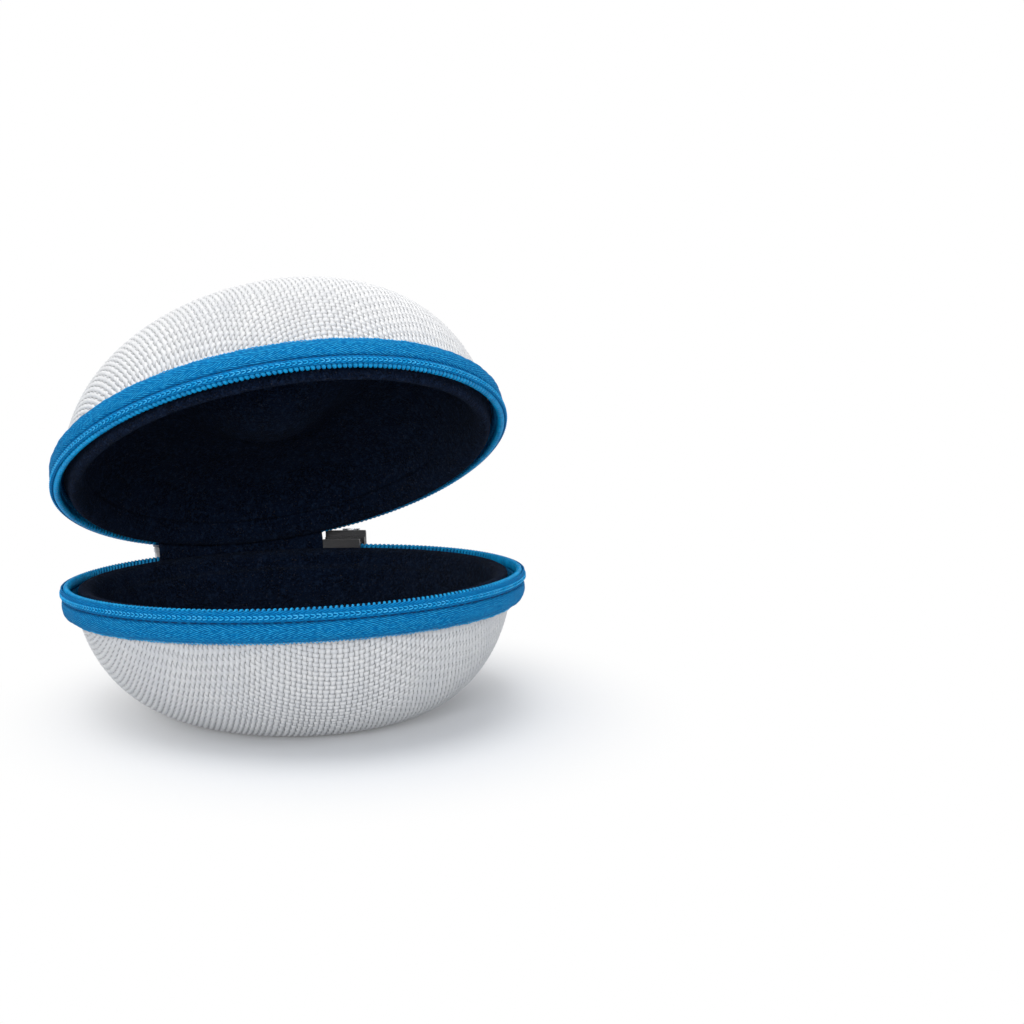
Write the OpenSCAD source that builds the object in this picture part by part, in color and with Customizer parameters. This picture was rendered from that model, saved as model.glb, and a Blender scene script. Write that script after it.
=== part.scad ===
// Zippered travel case for one watch.
// Two moulded half shells of fabric, foam and lining meet at a round rim, which carries a coil
// zip, and a strip of fabric at the back is the hinge. The case stands half open on the ring
// round the dimple in its base.
//
// Two frames are used. The case frame has its origin on the table at the centre of the resting
// ring, +Z up and +X to the right, and the hinge is towards +Y. The rim frame has its origin at
// the centre of the rim, its Z along the rim's axis, and the parting plane at Z = 0.

/* [Rim] */
// Radius of the round rim, to the middle of the zip coil
rim_r = 55; // [50:1:60]
// Tilt of the rim when the case stands, front edge up, degrees
stand_tilt = 5.4; // [4:0.2:7]
// How far the lid stands open at rest, degrees
lid_open = 27.8; // [20:0.2:34]

/* [Half shells] */
// Depth of the base shell at its middle, without the dimple
base_depth = 32; // [28:0.5:36]
// Roundness of the base shell's wall: 2 is an ellipse, more is boxier
base_power = 2; // [1.8:0.05:2.4]
// Depth of the lid shell at its middle, without the dimple
lid_depth = 27.7; // [25:0.1:32]
// Share by which the lid shell is deeper at the front and shallower at the hinge
lid_wedge = 0.348; // [0.2:0.002:0.36]
// Roundness of the lid shell's wall
lid_power = 2.35; // [1.8:0.05:2.6]
// Where the shells are deepest, as a share of the wall's radius
crest_at = 0.5; // [0.45:0.01:0.6]
// Depth of the finger dimple in the middle of each shell
dimple_depth = 13; // [8:0.5:14]

/* [Laminate] */
// Thickness of the woven outer fabric
fabric_t = 0.8; // [0.6:0.1:1]
// Thickness of the moulded foam
foam_t = 3.8; // [3:0.1:4.2]
// Thickness of the velour lining
lining_t = 0.8; // [0.5:0.1:1]

/* [Zip] */
// Half the angle at the back that the zip leaves free for the hinge, degrees
hinge_half = 22; // [20:1:24]
// Pitch of the zip coil's loops, degrees round the rim
loop_pitch = 1.3; // [1.28:0.02:1.6]
// Middle of the slider where it is parked, degrees from +X
slider_at = 60; // [58:0.5:61]
// Length of the rubber pull tab
tab_len = 22; // [16:1:24]
// Width of the rubber pull tab
tab_w = 7.5; // [6:0.5:8]

/* [Hidden] */
$fn = 48;

// Colours
shell_color = [0.86, 0.87, 0.88];
foam_color = [0.20, 0.21, 0.23];
lining_color = [0.05, 0.06, 0.10];
zip_color = [0.03, 0.42, 0.72];
slider_color = [0.09, 0.09, 0.10];
steel_color = [0.75, 0.76, 0.78];
rubber_color = [0.07, 0.07, 0.08];

// Grid of the half shells
seg_n = 44;        // points round each ring
wall_rings = 8;    // rings from the seam up the wall to the crest
dimple_rings = 4;  // rings from the crest down into the dimple

// Rim section, as radii and as heights from the parting plane
wall_r = rim_r - 1.7;                      // outside of the fabric where it meets the rim
seam_z = 5.2;                              // the fabric ends here, under the tape
lip_r = rim_r - 3.1;                       // outside of the lining where it wraps the lip
lip_z = 0.4;                               // face of the lip
lip_top = lip_z + 0.6;                     // top of the foam inside the lip
return_t = 0.5;                            // lining where it turns over the lip's outside
fit_gap = 0.05;                            // between pieces that are sewn or laid together
tape_in = rim_r - 1.5;                     // inner face of the tape
tape_out = rim_r - 0.9;                    // outer face of the tape, where the coil lies
tape_edge_z = 0.9;                         // free edge of the tape
band_r = rim_r + 1;                        // crown of the padded band
band_z = 8.3;                              // far edge of the band
groove_z = 4.35;                           // side of the slider's groove next to the band
coil_out = rim_r + 1.3;                    // outside of the coil
coil_top = 0.55;                           // loop heads
coil_low = 3.1;                            // loop backs
loop_t = 0.62;                             // thickness of the monofilament
cord_r = 0.66;                             // filler cord inside the coil
cord_z = 1.85;

// Hinge
hinge_y = 0.996 * rim_r;                   // hinge axis, in the parting plane
arc_from = 90 + hinge_half;                // the zip runs from here
arc_angle = 360 - 2 * hinge_half;          // round the front, to the other side of the hinge
hinge_arc = hinge_half - 1.2;              // half the angle of the hinge fabric
hinge_fabric_t = 1;
hinge_lining_t = 0.6;
fold_z = 3;                                // half the height over which the hinge bends
hinge_gap = 0.25;                          // between the lips and the hinge lining

// Resting ring, cut flat
flat_cut = 0.5;
base_wedge = tan(stand_tilt) * rim_r / base_depth;
rim_y = base_depth * sin(stand_tilt);
rim_z = base_depth * cos(stand_tilt) - flat_cut;

// Slider and puller, as radii from the rim's axis and heights from the parting plane
plate_in = coil_out + 0.4;                 // underside of the outer plate
plate_out = plate_in + 2;
plate_half = 4.2;                          // half the slider's width
lid_side_in = plate_in + 1.2;              // the lid's side of the plate stands clear of the lid's zip
lid_side_top = 3;                          // and is lower, so that the lid's zip end passes as it opens
slider_arc = 5.4;                          // half the slider's length, degrees
web_half = 0.22;                           // web between the two rows of loops
inner_in = lip_r + 0.3;                    // inner plate, between the lip and the tape
inner_out = tape_in - 0.3;
inner_top = 1.3;                           // the inner plate stops short of the lid's lip
flange_z = groove_z - 0.25;
flange_t = 0.75;
crown_half = 4.2;                          // half the length of the crown
crown_w = 2.2;
crown_t = 1.2;
eye_h = 2;
eye_x = plate_out + eye_h / 2;
link_r = 0.6;                              // wire of the link
arm_z = crown_w / 2 + 0.3 + link_r;
arm_len = 5.3;
pin_x = eye_x + 7.7;
pin_r = 0.7;
pin_gap = 0.05;
ear_y = 1.9;
ear_t = 0.8;
tab_t = 2.6;
tab_neck = 3;
tab_hang = atan(tan(stand_tilt) * sin(slider_at));

// ---------------------------------------------------------------- frames

module in_case_frame() {
    translate([0, rim_y, rim_z]) rotate([-stand_tilt, 0, 0]) children();
}

module on_lid() {
    in_case_frame()
        translate([0, hinge_y, 0]) rotate([-lid_open, 0, 0]) translate([0, -hinge_y, 0])
            children();
}

module at_slider() {
    in_case_frame() rotate([0, 0, slider_at]) children();
}

// ---------------------------------------------------------------- half shells

// A shell is [depth, wedge, power, side], where side is -1 below the rim and 1 above it.
base_shell = [base_depth, base_wedge, base_power, -1];
lid_shell = [lid_depth, lid_wedge, lid_power, 1];
depth_at = function(shell, y) shell[0] * (1 - shell[1] * y / rim_r);

// A point of the outer surface: q is its share of the wall's radius, g its share of the depth.
function surface_point(shell, q, g, a, drop = 0) =
    let (x = wall_r * q * cos(a), y = wall_r * q * sin(a))
    [x, y, shell[3] * (depth_at(shell, y) * g - drop)];

// The first ring is level with the seam, the next ones climb to the crest, then into the dimple.
function wall_ring(shell, i) =
    let (s = 90 * (i + 0.6) / (wall_rings + 0.6), e = 2 / shell[2])
    [for (j = [0 : seg_n - 1])
        surface_point(shell, crest_at + (1 - crest_at) * pow(cos(s), e), pow(sin(s), e), 360 * j / seg_n)];
function seam_ring(shell) =
    [for (j = [0 : seg_n - 1])
        let (a = 360 * j / seg_n) [wall_r * cos(a), wall_r * sin(a), shell[3] * seam_z]];
function dimple_ring(shell, i) =
    let (q = 1 - i / (dimple_rings + 0.5), drop = dimple_depth * (1 + cos(180 * q)) / 2)
    [for (j = [0 : seg_n - 1]) surface_point(shell, crest_at * q, 1, 360 * j / seg_n, drop)];
function outer_rings(shell) = concat(
    [seam_ring(shell)],
    [for (i = [1 : wall_rings]) wall_ring(shell, i)],
    [for (i = [1 : dimple_rings]) dimple_ring(shell, i)]);
function unit(v) = v / norm(v);

// The surface moved into the laminate by a depth t, along its own normal.
function inner_rings(shell, t) =
    let (rings = outer_rings(shell), last = len(rings) - 1)
    [for (i = [0 : last])
        [for (j = [0 : seg_n - 1])
            let (
                along = rings[min(i + 1, last)][j] - rings[max(i - 1, 0)][j],
                round_it = rings[i][(j + 1) % seg_n] - rings[i][(j + seg_n - 1) % seg_n],
                inwards = unit(cross(along, round_it)) * shell[3],
                straight = [-cos(360 * j / seg_n), -sin(360 * j / seg_n), 0]
            )
            rings[i][j] + t * (i == 0 ? straight : inwards)]];
function apex(shell, t) =
    [0, 0, shell[3] * (shell[0] - dimple_depth - t)];

// Level rings of given radii and heights, for the lip.
function level_rings(shell, sizes) =
    [for (s = sizes)
        [for (j = [0 : seg_n - 1])
            let (a = 360 * j / seg_n) [s[0] * cos(a), s[0] * sin(a), shell[3] * s[1]]]];

// A closed skin between an outer and an inner surface, each a list of rings that ends at an apex.
module skin(outer, outer_apex, inner, inner_apex, side) {
    a = len(outer) * seg_n;
    b = len(inner) * seg_n;
    points = concat([for (r = outer) each r], [for (r = inner) each r], [outer_apex, inner_apex]);
    grid = function(start, count) [
        for (i = [0 : count - 2])
            for (j = [0 : seg_n - 1])
                let (k = (j + 1) % seg_n, p = start + i * seg_n)
                each [[p + j, p + k, p + seg_n + k], [p + j, p + seg_n + k, p + seg_n + j]]
    ];
    fan = function(start, tip) [
        for (j = [0 : seg_n - 1]) [start + j, start + (j + 1) % seg_n, tip]
    ];
    flip = function(faces) [for (f = faces) [f[2], f[1], f[0]]];
    edge = [
        for (j = [0 : seg_n - 1])
            let (k = (j + 1) % seg_n)
            each [[j, a + j, a + k], [j, a + k, k]]
    ];
    faces = concat(
        grid(0, len(outer)), fan(a - seg_n, a + b),
        flip(grid(a, len(inner))), flip(fan(a + b - seg_n, a + b + 1)), edge);
    polyhedron(points = points, faces = side > 0 ? flip(faces) : faces, convexity = 8);
}

module fabric_skin(shell) {
    skin(outer_rings(shell), apex(shell, 0), inner_rings(shell, fabric_t), apex(shell, fabric_t), shell[3]);
}

module foam_skin(shell) {
    out_t = fabric_t;
    in_t = fabric_t + foam_t;
    skin(
        concat(
            level_rings(shell, [[lip_r - return_t, lip_top], [lip_r - return_t, seam_z]]),
            inner_rings(shell, out_t)),
        apex(shell, out_t),
        concat(level_rings(shell, [[wall_r - in_t, lip_top]]), inner_rings(shell, in_t)),
        apex(shell, in_t), shell[3]);
}

module lining_skin(shell) {
    out_t = fabric_t + foam_t;
    in_t = out_t + lining_t;
    skin(
        concat(
            level_rings(shell, [
                [lip_r - return_t, seam_z], [lip_r - return_t, lip_top], [wall_r - out_t, lip_top]
            ]),
            inner_rings(shell, out_t)),
        apex(shell, out_t),
        concat(
            level_rings(shell, [[lip_r, seam_z], [lip_r, lip_z], [wall_r - in_t, lip_z]]),
            inner_rings(shell, in_t)),
        apex(shell, in_t), shell[3]);
}

// ---------------------------------------------------------------- zip, drawn below the parting plane

// Sweeps a section of [radius, height] round the zip's arc, short of its ends by the angle trim.
module round_the_rim(trim = 0) {
    rotate([0, 0, arc_from + trim]) rotate_extrude(angle = arc_angle - 2 * trim, $fn = 96) children();
}

module tape() {
    round_the_rim() polygon([
        [tape_in, -tape_edge_z], [tape_out, -tape_edge_z], [tape_out, -groove_z],
        [rim_r, -groove_z - 0.1], [band_r - 0.3, -groove_z - 0.6], [band_r, -groove_z - 1.5],
        [band_r - 0.2, -band_z + 1.3], [rim_r + 0.2, -band_z + 0.4], [rim_r - 0.5, -band_z],
        [wall_r - 0.35, -band_z + 0.1], [wall_r + fit_gap, -seam_z - 1.2],
        [wall_r + fit_gap, -seam_z], [tape_in, -seam_z],
    ]);
}

// One loop of the coil, a flat link round the filler cord.
module coil_loop() {
    chamfer = 0.5;
    low_r = tape_out + fit_gap;
    translate([0, loop_t / 2, 0]) rotate([90, 0, 0]) linear_extrude(loop_t) difference() {
        polygon([
            [low_r, -coil_top - chamfer], [low_r + chamfer, -coil_top],
            [coil_out - chamfer, -coil_top], [coil_out, -coil_top - chamfer],
            [coil_out, -coil_low], [low_r, -coil_low],
        ]);
        translate([(low_r + coil_out) / 2, -cord_z]) circle(cord_r + fit_gap);
    }
}

module coil() {
    count = floor((arc_angle - 3) / loop_pitch);
    start = arc_from + (arc_angle - (count - 1) * loop_pitch) / 2;
    for (i = [0 : count - 1]) rotate([0, 0, start + i * loop_pitch]) coil_loop();
}

module filler_cord() {
    round_the_rim(0.8) translate([(tape_out + fit_gap + coil_out) / 2, -cord_z]) circle(cord_r);
}

// Sewn stitches along the far edge of the band, each a short straight thread.
module stitches() {
    stitch_r = 0.22;
    stitch_len = 1.9;
    count = 120;
    for (i = [0 : count - 1])
        rotate([0, 0, arc_from + 2 + i * (arc_angle - 4) / (count - 1)])
            translate([rim_r - 0.1, 0, -band_z - stitch_r])
                rotate([90, 0, 0]) cylinder(r = stitch_r, h = stitch_len, center = true, $fn = 16);
}

// Dense stitching that closes each end of the tape.
module bartacks() {
    bar_h = 3.2;
    for (end = [arc_from + 1.2, arc_from + arc_angle - 1.2])
        rotate([0, 0, end])
            translate([band_r + fit_gap + 0.2, 0, -groove_z - 0.8 - bar_h / 2])
                cube([0.4, 1, bar_h], center = true);
}

module above_rim() {
    mirror([0, 0, 1]) children();
}

// ---------------------------------------------------------------- fabric hinge

// A strip between two radii that bends from the base to the open lid across the fold.
module hinge_strip(r_in, r_out, half_h, half_arc) {
    cols = 12;
    rows = 10;
    bend = function(p, z) let (
        s = max(0, min(1, (z + fold_z) / (2 * fold_z))),
        turn = -lid_open * s * s * (3 - 2 * s),
        y = p[1] - hinge_y
    ) [p[0], hinge_y + y * cos(turn) - z * sin(turn), y * sin(turn) + z * cos(turn)];
    sheet = function(r) [
        for (i = [0 : rows])
            for (j = [0 : cols])
                let (a = 90 - half_arc + 2 * half_arc * j / cols)
                bend([r * cos(a), r * sin(a)], half_h * (2 * i / rows - 1))
    ];
    n = (rows + 1) * (cols + 1);
    at = function(i, j) i * (cols + 1) + j;
    quad = function(a, b, c, d) [[a, b, c], [a, c, d]];
    faces = [
        for (i = [0 : rows - 1])
            for (j = [0 : cols - 1])
                each concat(
                    quad(at(i, j), at(i + 1, j), at(i + 1, j + 1), at(i, j + 1)),
                    quad(n + at(i, j), n + at(i, j + 1), n + at(i + 1, j + 1), n + at(i + 1, j))),
        for (i = [0 : rows - 1])
            each concat(
                quad(at(i, 0), n + at(i, 0), n + at(i + 1, 0), at(i + 1, 0)),
                quad(at(i, cols), at(i + 1, cols), n + at(i + 1, cols), n + at(i, cols))),
        for (j = [0 : cols - 1])
            each concat(
                quad(at(0, j), at(0, j + 1), n + at(0, j + 1), n + at(0, j)),
                quad(at(rows, j), n + at(rows, j), n + at(rows, j + 1), at(rows, j + 1))),
    ];
    polyhedron(points = concat(sheet(r_out), sheet(r_in)), faces = faces, convexity = 4);
}

// ---------------------------------------------------------------- slider and puller
// Drawn at the slider: X is outwards, Y along the zip, Z along the rim's axis.

module slider_sweep(half_angle, shift = 0) {
    rotate([0, 0, shift - half_angle]) rotate_extrude(angle = 2 * half_angle, $fn = 96) children();
}

module slider_body() {
    nose = -slider_arc * 0.55;
    slider_sweep(slider_arc) {
        // outer plate, its flange in the base's groove, and the raised half over the lid's zip
        polygon([
            [plate_in, -flange_z + flange_t], [tape_out + 0.35, -flange_z + flange_t],
            [tape_out + 0.35, -flange_z], [plate_in, -flange_z], [plate_in + 0.6, -plate_half - 0.5],
            [plate_out - 0.5, -plate_half - 0.5], [plate_out, -plate_half],
            [plate_out, lid_side_top - 0.5], [plate_out - 0.4, lid_side_top],
            [lid_side_in, lid_side_top], [lid_side_in, inner_top], [plate_in, inner_top],
        ]);
        // inner plate behind the tape
        polygon([
            [inner_in, -plate_half], [inner_out, -plate_half], [inner_out, inner_top],
            [inner_in, inner_top],
        ]);
    }
    // web that joins the plates at the nose, between the rows of loops
    slider_sweep(slider_arc * 0.35, nose) polygon([
        [inner_in + 0.2, -web_half], [plate_in + 0.2, -web_half],
        [plate_in + 0.2, web_half], [inner_in + 0.2, web_half],
    ]);
    // crown with the eye that holds the link
    crown_x = plate_out - 0.6;
    difference() {
        translate([crown_x, -crown_half, -crown_w / 2])
            cube([0.6 + eye_h + crown_t, 2 * crown_half, crown_w]);
        translate([plate_out, -crown_half + crown_t, -crown_w])
            cube([eye_h, 2 * (crown_half - crown_t), 2 * crown_w]);
        for (side = [-1, 1])
            translate([plate_out + eye_h + crown_t, side * crown_half, 0])
                rotate([0, 0, 45]) cube([1.5, 1.5, 2 * crown_w], center = true);
    }
}

// Stirrup of the link: a bar in the crown's eye, two arms, and a fork with the tab's pin.
module link_body() {
    yoke_x = eye_x + arm_len;
    translate([eye_x, 0, 0]) cylinder(r = link_r, h = 2 * arm_z, center = true);
    for (side = [-1, 1]) {
        translate([eye_x, 0, side * arm_z]) sphere(r = link_r);
        translate([eye_x, 0, side * arm_z]) rotate([0, 90, 0]) cylinder(r = link_r, h = arm_len);
        translate([yoke_x + 0.4, side * ear_y - ear_t / 2, -1.3])
            cube([pin_x - yoke_x + 0.8, ear_t, 2.6]);
    }
    translate([yoke_x - 0.6, -ear_y - ear_t / 2, -arm_z - link_r])
        cube([1.2, 2 * ear_y + ear_t, 2 * (arm_z + link_r)]);
    translate([pin_x, 0, 0]) rotate([90, 0, 0]) cylinder(r = pin_r, h = 2 * ear_y, center = true);
}

// Rubber tab, hanging down from the pin, with a plain sunk panel on each face.
module tab_body() {
    corner = 1.4;
    top = -4.6;
    low = top - tab_len + 4;
    panel = 0.35;
    module outline(shrink) {
        x = tab_w / 2 - shrink;
        polygon([
            [-x, top - shrink - corner], [-x + corner, top - shrink], [x - corner, top - shrink],
            [x, top - shrink - corner], [x, low + shrink + corner], [x - corner, low + shrink],
            [-x + corner, low + shrink], [-x, low + shrink + corner],
        ]);
    }
    rotate([90, 0, 0]) difference() {
        union() {
            linear_extrude(tab_t, center = true) outline(0);
            translate([0, top / 2 - 0.5, 0]) cube([tab_neck, -top + 1, tab_t], center = true);
            cylinder(r = tab_neck / 2, h = tab_t, center = true);
        }
        cylinder(r = pin_r + pin_gap, h = 2 * tab_t, center = true);
        for (side = [-1, 1])
            translate([0, 0, side * (tab_t / 2 - panel / 2 + 0.01)])
                linear_extrude(panel + 0.02, center = true) outline(1.1);
    }
}

// ---------------------------------------------------------------- nodes

module base_fabric_shell() {
    color(shell_color) difference() {
        in_case_frame() fabric_skin(base_shell);
        translate([0, 0, -5]) cube([200, 200, 10], center = true);
    }
}
module base_foam_core() { color(foam_color) in_case_frame() foam_skin(base_shell); }
module base_lining() { color(lining_color) in_case_frame() lining_skin(base_shell); }
module base_zip_tape() { color(zip_color) in_case_frame() tape(); }
module base_zip_coil() { color(zip_color) in_case_frame() coil(); }
module base_zip_cord() { color(zip_color) in_case_frame() filler_cord(); }
module base_tape_stitching() { color(zip_color) in_case_frame() stitches(); }
module base_tape_bartacks() { color(zip_color) in_case_frame() bartacks(); }

module lid_fabric_shell() { color(shell_color) on_lid() fabric_skin(lid_shell); }
module lid_foam_core() { color(foam_color) on_lid() foam_skin(lid_shell); }
module lid_lining() { color(lining_color) on_lid() lining_skin(lid_shell); }
module lid_zip_tape() { color(zip_color) on_lid() above_rim() tape(); }
module lid_zip_coil() { color(zip_color) on_lid() above_rim() coil(); }
module lid_zip_cord() { color(zip_color) on_lid() above_rim() filler_cord(); }
module lid_tape_stitching() { color(zip_color) on_lid() above_rim() stitches(); }
module lid_tape_bartacks() { color(zip_color) on_lid() above_rim() bartacks(); }

module hinge_fabric() {
    color(shell_color) in_case_frame()
        hinge_strip(wall_r + 0.3, wall_r + 0.3 + hinge_fabric_t, band_z, hinge_arc);
}
module hinge_lining() {
    color(lining_color) in_case_frame()
        hinge_strip(lip_r + hinge_gap, lip_r + hinge_gap + hinge_lining_t, seam_z, hinge_arc);
}

module zip_slider() { color(slider_color) at_slider() slider_body(); }
module pull_link() { color(steel_color) at_slider() link_body(); }
module pull_tab() {
    color(rubber_color) at_slider() translate([pin_x, 0, 0]) rotate([0, -tab_hang, 0]) tab_body();
}

base_fabric_shell();
base_foam_core();
base_lining();
base_zip_tape();
base_zip_coil();
base_zip_cord();
base_tape_stitching();
base_tape_bartacks();
lid_fabric_shell();
lid_foam_core();
lid_lining();
lid_zip_tape();
lid_zip_coil();
lid_zip_cord();
lid_tape_stitching();
lid_tape_bartacks();
hinge_fabric();
hinge_lining();
zip_slider();
pull_link();
pull_tab();
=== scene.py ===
"""The looks of a round zippered watch travel case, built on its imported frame.

Shapes are drawn in millimetres in the rim frame of each half (origin at the centre of the rim,
the parting plane at z = 0, z measured away from it), then placed() puts them into the frame of
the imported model, in metres.
"""

import math

import bmesh
import bpy
import numpy as np
from mathutils import Matrix

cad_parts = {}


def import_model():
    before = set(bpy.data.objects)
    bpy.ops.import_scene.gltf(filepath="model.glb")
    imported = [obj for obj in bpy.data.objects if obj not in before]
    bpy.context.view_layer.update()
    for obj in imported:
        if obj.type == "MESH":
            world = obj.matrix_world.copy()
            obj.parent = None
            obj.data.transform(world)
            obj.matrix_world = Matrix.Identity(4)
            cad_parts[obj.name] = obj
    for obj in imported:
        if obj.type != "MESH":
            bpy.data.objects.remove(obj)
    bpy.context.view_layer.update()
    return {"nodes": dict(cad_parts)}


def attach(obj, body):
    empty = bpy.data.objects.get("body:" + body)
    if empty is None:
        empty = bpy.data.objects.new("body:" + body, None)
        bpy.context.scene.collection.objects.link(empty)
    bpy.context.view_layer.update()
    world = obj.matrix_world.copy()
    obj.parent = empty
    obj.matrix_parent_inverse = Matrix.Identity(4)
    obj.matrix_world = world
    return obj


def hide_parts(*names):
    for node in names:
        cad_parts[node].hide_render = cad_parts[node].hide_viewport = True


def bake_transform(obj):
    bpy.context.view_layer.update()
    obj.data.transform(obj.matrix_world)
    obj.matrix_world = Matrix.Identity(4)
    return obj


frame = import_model()

# Sizes of the CAD part, in mm, and its angles
TILT = math.radians(5.4)  # of the rim
OPEN = math.radians(27.8)  # how far the lid stands open
RIM_R, WALL_R = 55.0, 53.3  # the rim, and the shell at the parting plane
HINGE = np.array([0.0, 54.78, 0.0])  # the lid turns about x here
RIM_AT = np.array([0.0, 3.0115, 31.358])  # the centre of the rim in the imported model
SEAM_Z, GROOVE_Z, BAND_Z = 5.2, 3.44, 8.3  # the shell's edge, the tape's groove and far edge
FABRIC_T, FOAM_T, LINING_T = 0.8, 3.8, 0.8
CREST, DIMPLE = 0.5, 13.0  # where the dimple starts, as a share of the radius, and its depth
HINGE_HALF = 22.0  # half the angle at the back that the zip leaves free
PITCH = 1.25  # of the coil

# Sizes of the scene's own detail, in mm
LIP = {"base": 0.5, "lid": -0.95}  # the lid's soft lip bulges and nests in the base's
WARP, WEFT, RELIEF = 1.32, 1.2, 0.6  # spacing of the yarns, and depth of the holes

BASE_DEPTH = 32.0

# For each half: depth, the share of it that is lost on the way to the hinge, roundness, side,
# and the direction in which the fabric's warp meets the wall, in degrees
HALVES = {
    "base": (BASE_DEPTH, math.tan(TILT) * RIM_R / BASE_DEPTH, 2.0, -1, -96.0),
    "lid": (27.7, 0.348, 2.35, 1, 90.0),
}


def half_side(half):
    """1 above the parting plane, -1 below it."""
    return HALVES[half][3]


# ---------------------------------------------------------------- placing and meshes


def turn_x(angle):
    """A turn about x, for points as columns."""
    c, s = math.cos(angle), math.sin(angle)
    return np.array([[1, 0, 0], [0, c, -s], [0, s, c]])


def placed(points, half):
    """Points of a half's rim frame, in mm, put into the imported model's frame, in metres."""
    p = np.asarray(points, float).reshape(-1, 3)
    if half == "lid":
        p = (p - HINGE) @ turn_x(-OPEN).T + HINGE
    return (p @ turn_x(-TILT).T + RIM_AT) / 1000


def around(radius, angle, z):
    """A point from its radius, its angle in degrees and its height."""
    a = np.radians(angle)
    return np.stack(np.broadcast_arrays(radius * np.cos(a), radius * np.sin(a), z), -1)


def build(name, points, faces, half, material, slot, body=None, uv=None, replaces=()):
    """A smooth mesh from points in mm. uv is one pair a point, in mm."""
    me = bpy.data.meshes.new(name)
    at = placed(points, half)
    at[:, 2] = np.maximum(at[:, 2], 0.0)  # the soft foot lies flat on the floor
    me.from_pydata(at.tolist(), [], [list(f) for f in faces])
    if uv is not None:
        cloth = me.uv_layers.new(name="cloth")
        corner = np.empty(len(me.loops), np.int32)
        me.loops.foreach_get("vertex_index", corner)
        cloth.data.foreach_set("uv", np.asarray(uv, np.float32).reshape(-1, 2)[corner].ravel())
    me.polygons.foreach_set("use_smooth", [True] * len(me.polygons))
    me.materials.append(material)
    me.validate()
    ob = bpy.data.objects.new(name, me)
    bpy.context.scene.collection.objects.link(ob)
    if body:
        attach(ob, body)
    if replaces:
        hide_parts(*replaces)
    return ob


def quads(rows, cols, closed, flip=False, first=0):
    """Faces of a grid of points, row after row. closed joins the last column to the first."""
    i, j = np.meshgrid(np.arange(rows - 1), np.arange(cols if closed else cols - 1), indexing="ij")
    k = (j + 1) % cols
    f = np.stack([i * cols + j, i * cols + k, (i + 1) * cols + k, (i + 1) * cols + j], -1)
    f = f.reshape(-1, 4) + first
    return (f[:, ::-1] if flip else f).tolist()


def lathe(name, rings, tips, half, material, slot, flip=False, **more):
    """A skin through closed rings, with a point at each end."""
    rings = np.asarray(rings, float)
    rows, cols = rings.shape[:2]
    faces = quads(rows, cols, True, flip)
    for at, row in ((0, 0), (1, rows - 1)):
        tip = rows * cols + at
        for j in range(cols):
            a, b = row * cols + j, row * cols + (j + 1) % cols
            faces.append([b, a, tip] if (at == 0) != flip else [a, b, tip])
    points = np.vstack([rings.reshape(-1, 3), *tips])
    return build(name, points, faces, half, material, slot, **more)


def tube(path, radius, sides, first=0):
    """Points and faces of a round thread along a path, closed at its ends, with a radius that
    may vary."""
    path = np.asarray(path, float)
    n = len(path)
    radius = np.broadcast_to(radius, n)
    along = np.gradient(path, axis=0)
    along /= np.linalg.norm(along, axis=1)[:, None] + 1e-12
    out = path * [1, 1, 0]
    out /= np.linalg.norm(out, axis=1)[:, None] + 1e-12
    side = np.cross(along, out)
    weak = np.linalg.norm(side, axis=1) < 0.2
    side[weak] = np.cross(along[weak], [0.0, 0.0, 1.0])
    side /= np.linalg.norm(side, axis=1)[:, None] + 1e-12
    up = np.cross(side, along)
    t = np.arange(sides) * 2 * np.pi / sides
    ring = side[:, None] * np.cos(t)[None, :, None] + up[:, None] * np.sin(t)[None, :, None]
    points = (path[:, None] + ring * radius[:, None, None]).reshape(-1, 3)
    faces = quads(n, sides, True, True, first)
    faces.append([first + j for j in range(sides)])
    faces.append([first + (n - 1) * sides + j for j in range(sides)][::-1])
    return points, faces


def threads(name, paths, radius, half, material, slot, **more):
    """Several threads as one piece."""
    points, faces, count = [], [], 0
    for path in paths:
        p, f = tube(path, radius, 6, count)
        points.append(p)
        faces += f
        count += len(p)
    build(name, np.vstack(points), faces, half, material, slot, **more)


# ---------------------------------------------------------------- materials


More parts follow.
